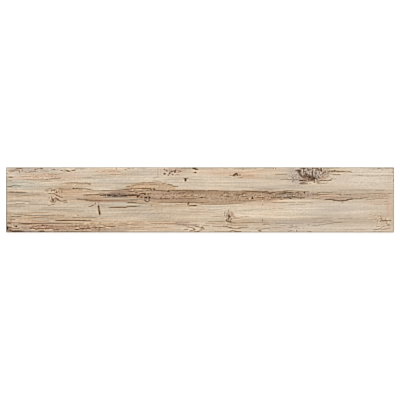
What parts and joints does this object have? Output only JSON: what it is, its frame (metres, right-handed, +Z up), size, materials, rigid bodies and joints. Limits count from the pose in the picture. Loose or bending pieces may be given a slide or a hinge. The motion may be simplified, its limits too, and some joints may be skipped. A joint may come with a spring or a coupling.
{
  "type": "porcelain floor tile",
  "caption": "Long flat porcelain tile with a wood-look face, ground edges with a fine arris and a ribbed back, bedded in adhesive to cover a floor.",
  "frame": {"origin": "middle of the back, on the plane of the rib feet that the tile rests on", "axes": "+X along the plank, +Y across it, +Z up from the back to the face"},
  "size_m": [1.19, 0.2, 0.01],
  "materials": {
    "porcelain": "matte"
  },
  "bodies": {
    "root": {"tile": "porcelain"}
  },
  "joints": []
}
